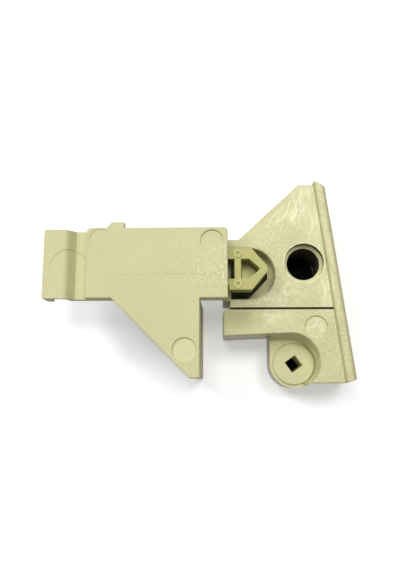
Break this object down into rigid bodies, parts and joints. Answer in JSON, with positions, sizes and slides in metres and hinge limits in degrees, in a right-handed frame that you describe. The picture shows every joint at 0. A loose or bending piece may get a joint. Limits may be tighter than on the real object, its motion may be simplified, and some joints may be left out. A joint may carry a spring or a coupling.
{
  "type": "cooker hood hinge",
  "caption": "Moulded plastic hinge for a cooker hood door: leaning door bracket with a round bore, hooked swing arm on a snap-in pivot insert, and a square-drive bush.",
  "frame": {"origin": "on the axis of the bracket's pivot bore, in the plane of the bracket's open back", "axes": "+Z along the hinge axes to the visible face, +X towards the door flange, +Y to the top of the bracket"},
  "size_m": [0.0967, 0.0667, 0.0275],
  "materials": {
    "bracket_plastic": "smooth cream moulded plastic with flow streaks",
    "arm_plastic": "satin cream moulded plastic with a fine grain",
    "insert_plastic": "yellower natural bearing plastic, satin",
    "bush_plastic": "smooth cream moulded plastic"
  },
  "bodies": {
    "bracket_body": {"bracket": "bracket_plastic"},
    "arm_body": {"arm": "arm_plastic", "pivot_insert": "insert_plastic"},
    "bush_body": {"square_bush": "bush_plastic"}
  },
  "joints": [
    {"name": "arm_swing", "type": "hinge", "parent": "bracket_body", "child": "arm_body", "pos_m": [-0.0176, -0.0032, 0], "axis": [0, 0, 1], "range_deg": [-35, 20]},
    {"name": "bush_turn", "type": "hinge", "parent": "bracket_body", "child": "bush_body", "pos_m": [-0.0033, -0.032, 0], "axis": [0, 0, 1], "continuous": true}
  ]
}
